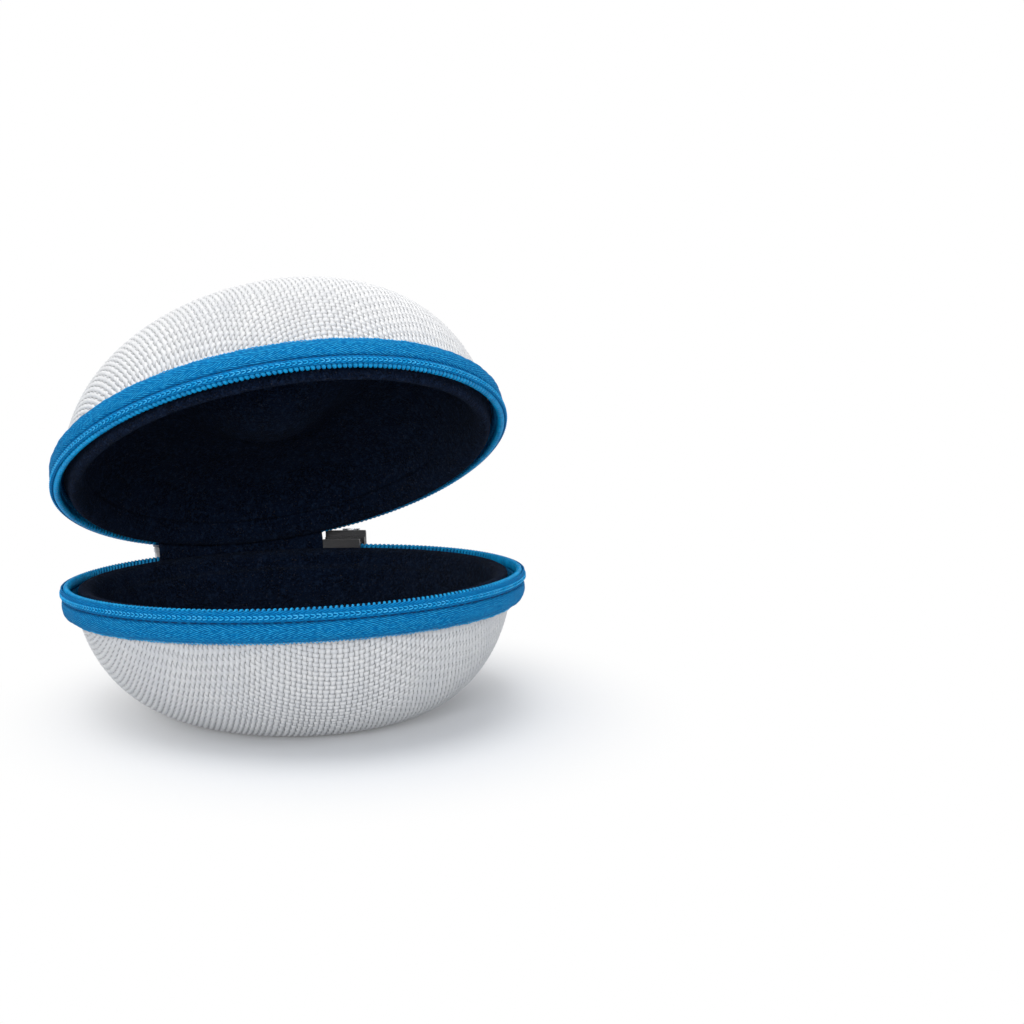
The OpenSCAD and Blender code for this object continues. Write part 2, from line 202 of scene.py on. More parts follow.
class Look:
    """A procedural material, with short names for the nodes that it is made of."""

    def __init__(self, name, rough, specular, **more):
        self.material = bpy.data.materials.new(name)
        self.material.use_nodes = True
        self.tree = self.material.node_tree
        self.bsdf = self.tree.nodes["Principled BSDF"]
        self.bsdf.inputs["Roughness"].default_value = rough
        self.bsdf.inputs["Specular IOR Level"].default_value = specular
        for key, value in more.items():
            self.bsdf.inputs[key.replace("_", " ")].default_value = value

    def node(self, kind, **settings):
        n = self.tree.nodes.new("ShaderNode" + kind)
        for key, value in settings.items():
            setattr(n, key, value)
        return n

    def feed(self, socket, value):
        if isinstance(value, bpy.types.NodeSocket):
            self.tree.links.new(value, socket)
        else:
            socket.default_value = value

    def math(self, operation, a, b=0.0, c=0.0):
        n = self.node("Math", operation=operation)
        for socket, value in zip(n.inputs, (a, b, c)):
            self.feed(socket, value)
        return n.outputs[0]

    def mul(self, a, b):
        return self.math("MULTIPLY", a, b)

    def wave(self, x, phase=0.0):
        """sin(pi x + phase)"""
        return self.math("SINE", self.math("MULTIPLY_ADD", x, math.pi, phase))

    def step(self, x, low, high, to_low=0.0, to_high=1.0):
        """A smooth step, from to_low at low to to_high at high."""
        n = self.node("MapRange", interpolation_type="SMOOTHSTEP")
        for socket, value in zip(n.inputs, (x, low, high, to_low, to_high)):
            self.feed(socket, value)
        return n.outputs[0]

    def mix(self, share, a, b):
        n = self.node("Mix", data_type="RGBA")
        self.feed(n.inputs[0], share)
        self.feed(n.inputs[6], a)
        self.feed(n.inputs[7], b)
        return n.outputs[2]

    def cloth_uv(self):
        """The place on the cloth, in mm."""
        n = self.node("SeparateXYZ")
        self.tree.links.new(self.node("UVMap", uv_map="cloth").outputs[0], n.inputs[0])
        return n.outputs[0], n.outputs[1]

    def vector(self, x, y, z=0.0):
        n = self.node("CombineXYZ")
        for socket, value in zip(n.inputs, (x, y, z)):
            self.feed(socket, value)
        return n.outputs[0]

    def object_mm(self):
        """The place in the object, in mm."""
        n = self.node("VectorMath", operation="SCALE")
        self.tree.links.new(self.node("TexCoord").outputs["Object"], n.inputs[0])
        n.inputs["Scale"].default_value = 1000.0
        return n.outputs[0]

    def noise(self, vector, scale, detail=2.0, rough=0.5):
        n = self.node("TexNoise")
        self.feed(n.inputs["Vector"], vector)
        n.inputs["Scale"].default_value = scale
        n.inputs["Detail"].default_value = detail
        n.inputs["Roughness"].default_value = rough
        return n.outputs[0]

    def bump(self, height, mm):
        n = self.node("Bump")
        n.inputs["Strength"].default_value = 1.0
        n.inputs["Distance"].default_value = mm / 1000
        self.feed(n.inputs["Height"], height)
        self.tree.links.new(n.outputs[0], self.bsdf.inputs["Normal"])

    def colour(self, value):
        self.feed(self.bsdf.inputs["Base Color"], value)

    def rough(self, value):
        self.feed(self.bsdf.inputs["Roughness"], value)


def rgb(r, g, b):
    return (r, g, b, 1.0)


def woven():
    """Coarse plain weave: floats of warp and weft take turns, with a hole at each corner."""
    k = Look("woven_nylon", rough=0.5, specular=0.5)
    u, v = k.cloth_uv()
    cu, cv = k.mul(u, 1 / WARP), k.mul(v, 1 / WEFT)
    iu, iv = k.math("FLOOR", cu), k.math("FLOOR", cv)
    fu = k.math("SUBTRACT", k.math("SUBTRACT", cu, iu), 0.5)
    fv = k.math("SUBTRACT", k.math("SUBTRACT", cv, iv), 0.5)
    odd_u, odd_v = k.wave(iu, math.pi / 2), k.wave(iv, math.pi / 2)

    def crown(f, width):
        square = k.mul(f, f)
        flat = k.math("MULTIPLY_ADD", k.mul(square, square), -1 / width ** 4, 1.0)
        return k.math("SQRT", k.math("MAXIMUM", flat, 0.0))

    over_weft = k.mul(k.wave(cu), odd_v)
    over_warp = k.mul(k.mul(k.wave(cv), odd_u), -1.0)
    weft_top = k.math("MULTIPLY_ADD", crown(fv, 0.47), 0.55, k.mul(over_weft, 0.45))
    warp_top = k.math("MULTIPLY_ADD", crown(fu, 0.46), 0.55, k.mul(over_warp, 0.45))
    height = k.math("MAXIMUM", weft_top, warp_top)
    apart = k.math("ABSOLUTE", k.math("SUBTRACT", weft_top, warp_top))
    is_weft = k.math("GREATER_THAN", weft_top, warp_top)
    hair_weft = k.noise(k.vector(k.mul(cu, 0.8), k.mul(cv, 7.0)), 1.6, 2.0)
    hair_warp = k.noise(k.vector(k.mul(cu, 7.0), k.mul(cv, 0.8)), 1.6, 2.0)
    hair = k.math("MULTIPLY_ADD", k.math("SUBTRACT", hair_weft, hair_warp), is_weft, hair_warp)
    tone = k.noise(k.vector(k.mul(iu, 0.37), k.mul(iv, 0.61), is_weft), 3.0, 1.0)
    worn = k.noise(k.vector(u, v), 0.05, 3.0)
    bright = k.mix(k.step(tone, 0.3, 0.7), rgb(0.70, 0.705, 0.715), rgb(0.77, 0.77, 0.77))
    bright = k.mix(k.step(hair, 0.30, 0.62, 0.4, 0.0), bright, rgb(0.60, 0.61, 0.63))
    bright = k.mix(k.step(worn, 0.45, 0.7, 0.0, 0.18), bright, rgb(0.60, 0.62, 0.66))
    # painted shade: dark in the holes, and thinner painted shade where one yarn dives under the
    # other
    near_side = k.step(k.math("ABSOLUTE", fu), 0.2, 0.42, 0.50, 1.0)
    seam = k.mul(k.step(apart, 0.0, 0.42, 1.0, 0.0), near_side)
    hole = k.step(height, 0.10, 0.46, 1.0, 0.0)
    painted_shade = k.math("MAXIMUM", k.mul(seam, 0.75), hole)
    k.colour(k.mix(painted_shade, bright, rgb(0.07, 0.076, 0.085)))
    k.rough(k.step(height, 0.3, 0.9, 0.65, 0.36))
    k.bump(k.math("MULTIPLY_ADD", hair, 0.33, height), 0.2)
    return k.material


def velour():
    """Dark pile with a nap, tufts and a little lint."""
    k = Look("velour", rough=0.95, specular=0.015, Sheen_Weight=0.05, Sheen_Roughness=0.5)
    k.bsdf.inputs["Sheen Tint"].default_value = rgb(0.45, 0.55, 0.75)
    p = k.object_mm()
    pile = k.noise(p, 2.2, 4.0, 0.75)
    nap = k.noise(p, 0.22, 3.0)
    lint = k.noise(p, 2.6, 2.0, 0.7)
    colour = k.mix(k.step(pile, 0.38, 0.66), rgb(0.0002, 0.0010, 0.0048), rgb(0.006, 0.014, 0.038))
    colour = k.mix(k.step(nap, 0.4, 0.65, 0.0, 0.5), colour, rgb(0.005, 0.012, 0.034))
    tufts = k.noise(p, 0.9, 2.0, 0.6)
    colour = k.mix(k.step(tufts, 0.52, 0.66, 0.0, 0.6), colour, rgb(0.012, 0.025, 0.060))
    k.colour(k.mix(k.step(lint, 0.62, 0.72, 0.0, 0.3), colour, rgb(0.17, 0.14, 0.115)))
    k.bump(pile, 0.7)
    return k.material


def foam():
    """Dark foam with fine cells."""
    k = Look("foam", rough=0.9, specular=0.15)
    p = k.object_mm()
    cells = k.noise(p, 3.0, 3.0)
    k.colour(k.mix(cells, rgb(0.02, 0.02, 0.023), rgb(0.06, 0.06, 0.065)))
    k.bump(cells, 0.1)
    return k.material


def backing():
    """The coating that shows at the bottom of the weave's holes."""
    k = Look("backing", rough=0.8, specular=0.2)
    grain = k.noise(k.object_mm(), 4.0, 3.0)
    k.colour(k.mix(grain, rgb(0.10, 0.105, 0.115), rgb(0.17, 0.18, 0.19)))
    k.bump(grain, 0.04)
    return k.material


def twill():
    """Herringbone tape. v runs across the tape, in mm from its free edge."""
    deep, blue, pale = rgb(0.0, 0.085, 0.27), rgb(0.0, 0.17, 0.44), rgb(0.04, 0.48, 0.84)
    k = Look("twill", rough=0.75, specular=0.06)
    u, v = k.cloth_uv()
    wobble = k.noise(k.vector(u, v), 0.7, 2.0)
    u = k.math("ADD", u, k.math("MULTIPLY_ADD", wobble, 0.5, -0.25))
    side = k.math("SIGN", k.wave(k.mul(v, 1 / 1.6), 0.4))
    slant = k.math("MULTIPLY_ADD", k.mul(side, u), 0.36, v)
    rib = k.wave(k.mul(slant, 2 / 0.46))
    dash = k.noise(k.vector(k.mul(u, 0.95), k.mul(slant, 2.9)), 1.0, 2.0, 0.6)
    height = k.math("MULTIPLY_ADD", rib, 0.18, dash)
    # painted shade: the low places of the ribs and dashes take the deep blue
    colour = k.mix(k.step(height, 0.25, 0.56), deep, blue)
    # the tape lies flat and plain beside the coil, and its floats get a painted highlight, pale,
    # which is stronger on the band
    band_highlight = k.step(v, 2.4, 3.6, 0.2, 0.6)
    k.colour(k.mix(k.mul(k.step(height, 0.55, 0.70), band_highlight), colour, pale))
    k.bump(height, 0.22)
    return k.material


def filament(name, dark, light, rough, specular, mm=0.04):
    """Drawn or spun plastic, with a tone that drifts and a fine grain mm deep."""
    k = Look(name, rough=rough, specular=specular)
    p = k.object_mm()
    tone = k.noise(p, 0.5, 3.0)
    fine = k.noise(p, 5.0, 2.0)
    k.colour(k.mix(k.step(tone, 0.3, 0.7), dark, light))
    k.rough(k.step(fine, 0.3, 0.7, rough - 0.08, rough + 0.12))
    k.bump(fine, mm)
    return k.material


def enamel():
    """Matte black enamel on die-cast metal, rubbed bare along its edges."""
    k = Look("enamel", rough=0.42, specular=0.45)
    p = k.object_mm()
    orange_peel = k.noise(p, 2.2, 3.0)
    edge = k.node("NewGeometry").outputs["Pointiness"]
    rub = k.mul(k.step(edge, 0.53, 0.62), k.step(k.noise(p, 1.1, 3.0), 0.5, 0.72))
    black = k.mix(orange_peel, rgb(0.010, 0.010, 0.012), rgb(0.022, 0.022, 0.025))
    k.colour(k.mix(k.mul(rub, 0.35), black, rgb(0.14, 0.14, 0.15)))
    k.rough(k.step(orange_peel, 0.3, 0.7, 0.36, 0.52))
    k.bump(orange_peel, 0.05)
    return k.material


def steel():
    """Bright steel with light scuffs."""
    k = Look("steel", rough=0.26, specular=0.5, Metallic=1.0)
    p = k.object_mm()
    scuff = k.noise(p, 1.4, 4.0, 0.65)
    k.colour(k.mix(scuff, rgb(0.50, 0.51, 0.53), rgb(0.64, 0.65, 0.67)))
    k.rough(k.step(scuff, 0.3, 0.7, 0.18, 0.38))
    k.bump(scuff, 0.012)
    return k.material


def rubber():
    """Matte black rubber with a little dust."""
    k = Look("rubber", rough=0.62, specular=0.3)
    p = k.object_mm()
    grain = k.noise(p, 6.0, 3.0)
    dust = k.noise(p, 0.6, 4.0, 0.6)
    black = k.mix(grain, rgb(0.012, 0.012, 0.014), rgb(0.026, 0.026, 0.030))
    k.colour(k.mix(k.step(dust, 0.5, 0.75, 0.0, 0.35), black, rgb(0.055, 0.058, 0.065)))
    k.rough(k.step(dust, 0.3, 0.7, 0.55, 0.72))
    k.bump(grain, 0.05)
    return k.material


SHELL = woven()
VELOUR = velour()
FOAM = foam()
BACKING = backing()
TWILL = twill()
COIL = filament("coil_filament", rgb(0.0, 0.23, 0.53), rgb(0.0, 0.34, 0.70), 0.45, 0.24)
THREAD = filament("thread", rgb(0.0, 0.33, 0.70), rgb(0.06, 0.48, 0.85), 0.65, 0.12, 0.06)
DARK_THREAD = filament("dark_thread", rgb(0.0, 0.02, 0.09), rgb(0.0, 0.05, 0.17), 0.6, 0.3, 0.06)
PALE_THREAD = filament("pale_thread", rgb(0.55, 0.56, 0.58), rgb(0.72, 0.72, 0.72), 0.6, 0.2, 0.06)
CORD = filament("filler_cord", rgb(0.0, 0.10, 0.32), rgb(0.0, 0.15, 0.42), 0.7, 0.2, 0.06)
ENAMEL, STEEL, RUBBER = enamel(), steel(), rubber()


# ---------------------------------------------------------------- half shells

WALL_RINGS, DIMPLE_RINGS, AROUND = 44, 30, 256  # how finely the moulded form is cut
PATH_STEPS = 500  # on each path from the apex to the seam, along which the weave is laid
AIR = 0.02  # between the layers of the laminate
LIP_R, LIP_HALF = 50.6, 2.3  # the middle of the lip, and half its width

# The foam's section over the lip, as radius and height, from the seam to the inside of the wall
FOAM_LIP = [
    (WALL_R - FABRIC_T, SEAM_Z), (51.3, SEAM_Z), (51.3, 1.7), (50.9, 1.3), (50.2, 1.35),
    (49.6, 1.8), (49.1, 2.75), (48.75, 4.2),
]

# The lining's section, as radius, height and waviness: over the lip, down the rebate in which
# the slider's inner plate runs, and back along the foam
LIP_FACE = [
    (47.75, 5.6, 0.0), (48.0, 4.2, 0.03), (48.45, 2.7, 0.06), (49.05, 1.5, 0.10),
    (49.9, 0.8, 0.10), (50.8, 0.48, 0.05), (51.5, 0.5, 0.0), (51.9, 0.8, 0.0), (52.1, 1.3, 0.0),
]
REBATE = {"base": [(52.1, 4.75, 0.0)], "lid": [(52.1, 2.9, 0.0), (52.9, 3.3, 0.0)]}
LIP_BACK = [
    (52.6, 5.0, 0.0), (51.4, 5.0, 0.0), (51.35, 1.65, 0.0), (50.9, 1.25, 0.0), (50.2, 1.3, 0.0),
    (49.55, 1.75, 0.0), (49.05, 2.7, 0.0), (48.65, 4.2, 0.0),
]


def shell_rings(half, pucker_mm=1.0):
    """Rings of the outer surface from the seam to the middle of the dimple, and the apex."""
    depth, wedge, power, side, _ = HALVES[half]
    a = np.arange(AROUND) * 2 * np.pi / AROUND
    e = 2 / power

    def depth_at(y):
        return depth * (1 - wedge * y / RIM_R)

    start = np.arcsin((SEAM_Z / depth_at(WALL_R * np.sin(a))) ** (power / 2))
    rings = []
    for t in np.linspace(0, 1, WALL_RINGS) ** 0.9:
        s = start + (np.pi / 2 - start) * t
        q = CREST + (1 - CREST) * np.clip(np.cos(s), 0, 1) ** e
        x, y = WALL_R * q * np.cos(a), WALL_R * q * np.sin(a)
        rings.append(np.stack([x, y, side * depth_at(y) * np.sin(s) ** e], -1))
    for q in np.linspace(1, 0, DIMPLE_RINGS + 1)[1:-1]:
        x, y = WALL_R * CREST * q * np.cos(a), WALL_R * CREST * q * np.sin(a)
        pucker = pucker_mm * (0.22 * np.sin(9 * a + 4 * q) + 0.16 * np.sin(14 * a - 7 * q))
        fold = pucker * np.sin(np.pi * min(1, q / 0.6)) ** 2
        drop = DIMPLE * (1 + math.cos(math.pi * q)) / 2 + fold
        rings.append(np.stack([x, y, side * (depth_at(y) - drop)], -1))
    return np.array(rings), np.array([0, 0, side * (depth - DIMPLE)])


def wall_radius(half, angle, z):
    """The radius of a half's outer surface, from the angle in degrees and the height."""
    depth, wedge, power = HALVES[half][:3]
    r = WALL_R
    for _ in range(3):
        deep = depth * (1 - wedge * r * np.sin(np.radians(angle)) / RIM_R)
        sine = (np.abs(z) / deep) ** (power / 2)
        r = WALL_R * (CREST + (1 - CREST) * (1 - sine ** 2) ** (1 / power))
    return r


def layer(half, t, pucker_mm=1.0):
    """Rings and apex of the surface that lies t inside a half's outer surface."""
    side = half_side(half)
    rings, apex = shell_rings(half, pucker_mm)
    inwards = np.gradient(rings, axis=0)
    round_it = np.roll(rings, -1, 1) - np.roll(rings, 1, 1)
    n = np.cross(inwards, round_it) * side
    n /= np.linalg.norm(n, axis=2)[:, :, None] + 1e-12
    out = rings + t * n
    straight = rings[0] * [-1, -1, 0]
    out[0] = rings[0] + t * straight / np.linalg.norm(straight, axis=1)[:, None]
    return out, apex - [0, 0, side * t]


def yarns(half_u, half_v):
    """A net of four by three points a crossing: its place in the weave, and its place in mm,
    where each float spreads over the one that it crosses."""
    cu = (np.arange(-half_u, half_u)[:, None] + [0, 0.13, 0.5, 0.87]).ravel()
    cv = (np.arange(-half_v, half_v)[:, None] + [0, 0.22, 0.78]).ravel()
    cu, cv = np.meshgrid(cu, cv, indexing="ij")
    mu = (cu - 0.12 * np.cos(np.pi * cu) * np.sin(np.pi * cv)) * WARP
    mv = (cv + 0.07 * np.cos(np.pi * cv) * np.sin(np.pi * cu)) * WEFT
    return cu, cv, mu, mv


def sunk_at(cu, cv):
    """How far the weave lies under the crowns of its floats."""
    iu, iv = np.floor(cu + 1e-6), np.floor(cv + 1e-6)
    fu, fv = cu - iu - 0.5, cv - iv - 0.5
    odd_u, odd_v = 1 - 2 * (iu % 2), 1 - 2 * (iv % 2)

    def crown(f):
        return np.sqrt(np.clip(1 - (2 * np.abs(f)) ** 4, 0, 1))

    weft_top = 0.55 * crown(fv) + 0.45 * np.sin(np.pi * cu) * odd_v
    warp_top = 0.55 * crown(fu) - 0.45 * np.sin(np.pi * cv) * odd_u
    height = np.maximum(weft_top, warp_top)
    # the gaps between neighbouring yarns
    height -= 0.46 * np.where(np.abs(np.abs(fu) - 0.5) < 0.01, 1, 0)
    height -= 0.22 * np.where(np.abs(np.abs(fv) - 0.5) < 0.01, 1, 0)
    return RELIEF * (1 - np.clip(height, 0, 1))


def paths_out(rings, apex):
    """Points at even steps on each path from the apex to the seam, and each path's length. The
    first path comes again after the last."""
    path = np.vstack([rings, np.broadcast_to(apex, rings[:1].shape)])[::-1]
    steps = np.linalg.norm(np.diff(path, axis=0), axis=2)
    s = np.vstack([np.zeros(steps[:1].shape), steps.cumsum(0)])
    reach = s[-1]
    t = np.linspace(0, 1, PATH_STEPS)
    points = np.stack([
        np.stack([np.interp(t * reach[j], s[:, j], path[:, j, c]) for j in range(AROUND)], 1)
        for c in range(3)], -1)
    return np.concatenate([points, points[:, :1]], 1), np.r_[reach, reach[0]]


def on_paths(paths, share, turn):
    """Points from the share of a path's length, and the share of a turn round the shell."""
    i = np.clip(share * (PATH_STEPS - 1), 0, PATH_STEPS - 1.001)
    j = turn * AROUND
    i0, j0 = i.astype(int), np.minimum(j.astype(int), AROUND - 1)
    fi, fj = (i - i0)[..., None], (j - j0)[..., None]
    low = paths[i0, j0] * (1 - fj) + paths[i0, j0 + 1] * fj
    high = paths[i0 + 1, j0] * (1 - fj) + paths[i0 + 1, j0 + 1] * fj
    return low * (1 - fi) + high * fi


def net_faces(inside):
    """Faces of a grid of points, where all four corners are inside."""
    n, m = inside.shape
    i, j = np.meshgrid(np.arange(n - 1), np.arange(m - 1), indexing="ij")
    whole = inside[:-1, :-1] & inside[1:, :-1] & inside[:-1, 1:] & inside[1:, 1:]
    i, j = i[whole], j[whole]
    return np.stack([i * m + j, (i + 1) * m + j, (i + 1) * m + j + 1, i * m + j + 1], -1)


def laid_cloth(rings, apex, side, warp_at):
    """The woven skin as a net of yarns laid over the moulded form. Yarns keep their spacing
    along the two lines where they run straight down the wall, and the net shears between
    those lines."""
    paths, reach = paths_out(rings, apex)
    cu, cv, mu, mv = yarns(int(reach.max() / WARP), int(reach.max() / WEFT))
    mu += 0.16 * np.sin(cu * 0.61 + 0.9 * np.sin(cv * 0.13)) + 0.03 * np.sin(cu * 5.3 + cv * 2.9)
    mv += 0.12 * np.sin(cv * 0.53 + 1.1 * np.sin(cu * 0.17)) + 0.03 * np.sin(cv * 4.7 - cu * 3.1)
    a, b = mu.copy(), mv.copy()
    for _ in range(40):
        far = np.hypot(a, b) + 1e-9
        delta = np.arctan2(a, b)
        turn = (delta + math.radians(warp_at)) / (2 * np.pi) % 1
        limit = np.interp(turn * AROUND, np.arange(AROUND + 1), reach)
        spot = on_paths(paths, far / limit, turn)
        share = np.clip(np.hypot(spot[..., 0], spot[..., 1]) / np.minimum(far, limit), 0.05, 1)
        a = 0.5 * a + 0.5 * mu / share ** (np.cos(delta) ** 2)
        b = 0.5 * b + 0.5 * mv / share ** (np.sin(delta) ** 2)
    inside = far / limit < 0.983  # the net ends just short of the seam, under the band
    normal = np.cross(np.gradient(spot, axis=0), np.gradient(spot, axis=1))
    normal /= np.linalg.norm(normal, axis=2)[..., None] + 1e-12
    up = np.sign(np.nansum(normal[..., 2] * inside) * side)
    points = spot - (up * sunk_at(cu, cv))[..., None] * normal
    faces = net_faces(inside)
    if up < 0:
        faces = faces[:, ::-1]
    used, faces = np.unique(faces, return_inverse=True)
    uv = np.stack([cu * WARP, cv * WEFT], -1).reshape(-1, 2)
    return points.reshape(-1, 3)[used], faces.reshape(-1, 4), uv[used]


def level(radius, z, side, wave=0.0):
    """A ring at one height, whose radius may wave a little."""
    a = np.arange(AROUND) * 2 * np.pi / AROUND
    r = radius + wave * (np.sin(5 * a + radius) + 0.6 * np.sin(13 * a + 2 * z))
    return np.stack([r * np.cos(a), r * np.sin(a), np.full(AROUND, side * float(z))], -1)


def lifted(half, r, z):
    """The height of a point of the lip's section, once the lip bulges or is hollowed."""
    return z + LIP[half] * np.clip(1 - abs(r - LIP_R) / LIP_HALF, 0, 1) ** 0.7


def woven_shell(half):
    """The woven skin."""
    points, faces, uv = laid_cloth(*shell_rings(half), *HALVES[half][3:])
    build(f"{half}_woven_shell", points, faces.tolist(), half, SHELL, "shell_fabric",
          body=half, uv=uv, replaces=(f"{half}_fabric_shell",))


def shell_backing(half):
    """The coating behind the weave."""
    side = half_side(half)
    face, face_tip = layer(half, RELIEF + 0.03)
    back, back_tip = layer(half, FABRIC_T)
    face[0, :, 2] = back[0, :, 2] = side * SEAM_Z
    lathe(f"{half}_backing", np.concatenate([face[::-1], back]), (face_tip, back_tip), half,
          BACKING, "shell_fabric", flip=side < 0, body=half, replaces=(f"{half}_fabric_shell",))


def foam_core(half):
    """The moulded foam, with the lip at the rim."""
    side = half_side(half)
    face, face_tip = layer(half, FABRIC_T + AIR)
    back, back_tip = layer(half, FABRIC_T + FOAM_T)
    lip = [level(r, lifted(half, r, z), side) for r, z in FOAM_LIP]
    core = lathe(f"{half}_moulded_foam", np.concatenate([face[::-1], lip, back[1:]]),
                 (face_tip, back_tip), half, FOAM, "foam", flip=side < 0, body=half,
                 replaces=(f"{half}_foam_core",))


def lining(half):
    """The velour, turned over the lip. It smooths the shell's puckers out."""
    side = half_side(half)
    back, back_tip = layer(half, FABRIC_T + FOAM_T + AIR, 0.25)
    face, face_tip = layer(half, FABRIC_T + FOAM_T + LINING_T, 0.25)
    lip = [level(r, lifted(half, r, z), side, wave)
           for r, z, wave in LIP_FACE + REBATE[half] + LIP_BACK]
    lathe(f"{half}_velour_lining", np.concatenate([face[1:][::-1], lip, back[1:]]),
          (face_tip, back_tip), half, VELOUR, "velour_lining", flip=side > 0, body=half,
          replaces=(f"{half}_lining",))


# ---------------------------------------------------------------- zip

ARC_FROM, ARC = 90 + HINGE_HALF, 360 - 2 * HINGE_HALF
ARC_MM = math.radians(ARC) * RIM_R
END_MM = 1.5  # of bare tape at each end of the coil
TURNS = int((ARC_MM - 2 * END_MM) / PITCH)
COIL_R = 54.92  # the middle of the coil
WINDING = {  # height of the coil's middle, half its height, and how much later a turn starts
    "base": (1.50, 0.98, 0.0),
    "lid": (2.05, 0.85, 0.5),
}
LID_EDGE = 0.6  # how far the lid's tape edge is drawn back, as its coil is
BAND_WALL_R = 52.6  # of the wall that the tape's section is drawn against

# The tape's section, as radius and height, from its free edge round to the edge again
TAPE = [
    (55.75, 0.82), (55.88, 0.66), (56.1, 0.64), (56.28, 0.8), (56.34, 1.2), (56.34, 1.8),
    (56.34, 2.4), (56.32, 2.8), (56.22, 3.05), (55.98, 3.22), (55.6, 3.32), (55.35, 3.4),
    (55.35, 3.48), (55.6, 3.56), (55.9, 3.66), (56.08, 3.9), (56.16, 4.3), (56.19, 4.85),
    (56.17, 5.45), (56.1, 6.05), (55.93, 6.65), (55.63, 7.2), (55.2, 7.65), (54.65, 7.96),
    (54.0, 8.18), (53.3, 8.32), (53.0, 8.15), (53.35, 6.4), (53.4, 5.2), (53.55, 4.6),
    (53.6, 2.75), (55.6, 2.65), (55.72, 2.0),
]
TAPE_OUTSIDE = slice(3, 27)  # the points of the section that show
TAPE_ON_WALL = (26, 27, 28)  # the points that lie against the shell


def zip_angle(mm):
    """The angle of a point of the zip, from how far along the zip it lies."""
    return ARC_FROM + np.degrees(mm / RIM_R)


def distances(points):
    """How far along an outline each of its points lies."""
    return np.r_[0, np.cumsum(np.linalg.norm(np.diff(points, axis=0), axis=1))]


def drawn_in(half, angle, z):
    """What the radius of the band changes by, so that its far edge meets the wall all round."""
    share = np.clip((np.abs(z) - SEAM_Z) / (BAND_Z - SEAM_Z), 0, 1) ** 1.5
    return share * (wall_radius(half, angle, BAND_Z) - BAND_WALL_R)


def twill_tape(half):
    """The tape, swept along the zip with its padded band."""
    side = half_side(half)
    section = np.array(TAPE)
    section[:, 1] += (side > 0) * LID_EDGE * np.clip(1.9 - section[:, 1], 0, 1)
    cols = 420
    angle = ARC_FROM + ARC * np.linspace(0, 1, cols)
    loop = np.vstack([section, section[:1]])
    rows = len(loop)
    ripple = 0.05 * np.sin(np.radians(angle) * 31) + 0.04 * np.sin(np.radians(angle) * 83)
    points = np.empty((rows, cols, 3))
    for i, (r, z) in enumerate(loop):
        swell = ripple * np.clip((z - GROOVE_Z) / 2, 0, 1) * (r > 53.6)
        out = r + swell + drawn_in(half, angle, z)
        if i in TAPE_ON_WALL:
            out = wall_radius(half, angle, z) - 0.08
        points[i] = around(out, angle, side * (z + 0.5 * swell))
    mm = (np.radians(angle) * RIM_R)[None]
    uv = np.stack(np.broadcast_arrays(mm, distances(loop)[:, None]), -1)
    faces = quads(rows, cols, False, side > 0)
    for end, turn in ((0, side > 0), (cols - 1, side < 0)):
        cap = [i * cols + end for i in range(rows - 1)]
        faces.append(cap[::-1] if turn else cap)
    build(f"{half}_twill_tape", points.reshape(-1, 3), faces, half, TWILL, "zip_tape",
          body=half, uv=uv, replaces=(f"{half}_zip_tape",))


def coil(half):
    """One continuous monofilament, wound round the filler cord. It is thicker for part of each
    turn: at the heads on the lid, and where it is sewn on the base."""
    side = half_side(half)
    middle, half_height, late = WINDING[half]
    per_turn = 14
    t = np.arange(TURNS * per_turn + 1) / per_turn
    c, s = np.cos(2 * np.pi * t), np.sin(2 * np.pi * t)
    flat_r = np.sign(c) * np.abs(c) ** 0.7
    flat_z = np.sign(s) * np.abs(s) ** 0.75
    if half == "base":
        thicker = 0.10 * np.clip(-flat_z - 0.45, 0, 0.4) / 0.4
    else:
        thicker = 0.22 * np.clip(flat_z - 0.2, 0, 0.5) / 0.5
    path = around(COIL_R + 0.45 * flat_r, zip_angle(END_MM + (t + late) * PITCH),
                  side * (middle - half_height * flat_z))
    points, faces = tube(path, 0.33 + thicker, 7)
    build(f"{half}_coil", points, faces, half, COIL, "zip_coil", body=half,
          replaces=(f"{half}_zip_coil",))


def filler(half):
    """The cord that the coil is wound round."""
    a = ARC_FROM + 0.9 + (ARC - 1.8) * np.linspace(0, 1, 500)
    twist = 0.05 * np.sin(np.radians(a) * 200)
    path = around(COIL_R + twist, a, half_side(half) * (1.55 + twist))
    points, faces = tube(path, 0.3, 8)
    build(f"{half}_filler_cord", points, faces, half, CORD, "zip_tape", body=half,
          replaces=(f"{half}_zip_cord",))


def coil_thread(half):
    """The chain stitch that sews the coil to its tape, a hook at each turn."""
    hook = np.array([  # share of a pitch, height, radius
        (0.00, 1.70, 56.15), (0.10, 1.73, 56.43), (0.38, 1.77, 56.46), (0.62, 1.90, 56.46),
        (0.74, 2.08, 56.46), (0.62, 2.26, 56.46), (0.36, 2.40, 56.46), (0.02, 2.46, 56.44),
        (-0.12, 2.42, 56.15), (0.50, 2.10, 55.9)])
    late = WINDING[half][2] + 0.55
    n = np.arange(TURNS)[:, None]
    mm = (END_MM + (n + hook[None, :, 0] + late) * PITCH).ravel()
    z, r = np.tile(hook[:, 1], TURNS), np.tile(hook[:, 2], TURNS)
    path = around(r, zip_angle(mm), half_side(half) * z)
    threads(f"{half}_coil_thread", [path], 0.135, half, THREAD, "thread", body=half)


